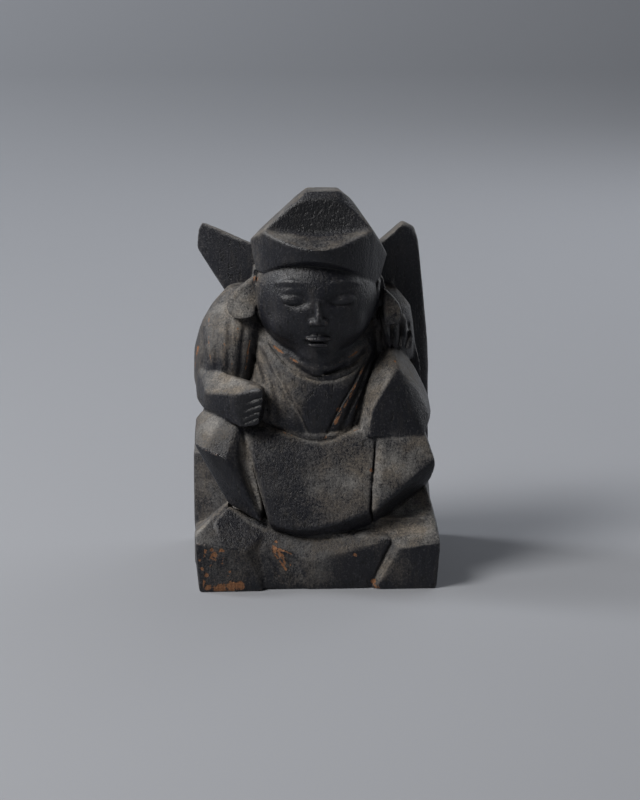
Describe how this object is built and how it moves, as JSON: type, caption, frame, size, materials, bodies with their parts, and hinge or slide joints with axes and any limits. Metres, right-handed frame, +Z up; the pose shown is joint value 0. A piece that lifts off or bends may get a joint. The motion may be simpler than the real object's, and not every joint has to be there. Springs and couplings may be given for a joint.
{
  "type": "carved wooden figure",
  "caption": "A wooden lucky-god figure in a peaked cap, seated cross-legged on a rock, knife-carved in broad facets, with an upswept panel behind the head; it stands on its flat underside",
  "frame": {"origin": "Middle of the bounding box's underside: centred across the width and the depth, on the plane the figure stands on.", "axes": "+Z up along the height, the longest extent; the figure looks towards -Y; its right hand, on the viewer's left, is on the -X side."},
  "size_m": [0.0736, 0.056, 0.117],
  "materials": {
    "stained_wood": "dark stained, worn satin with dust in the hollows"
  },
  "bodies": {
    "root": {"seated_figure": "stained_wood"}
  },
  "joints": []
}
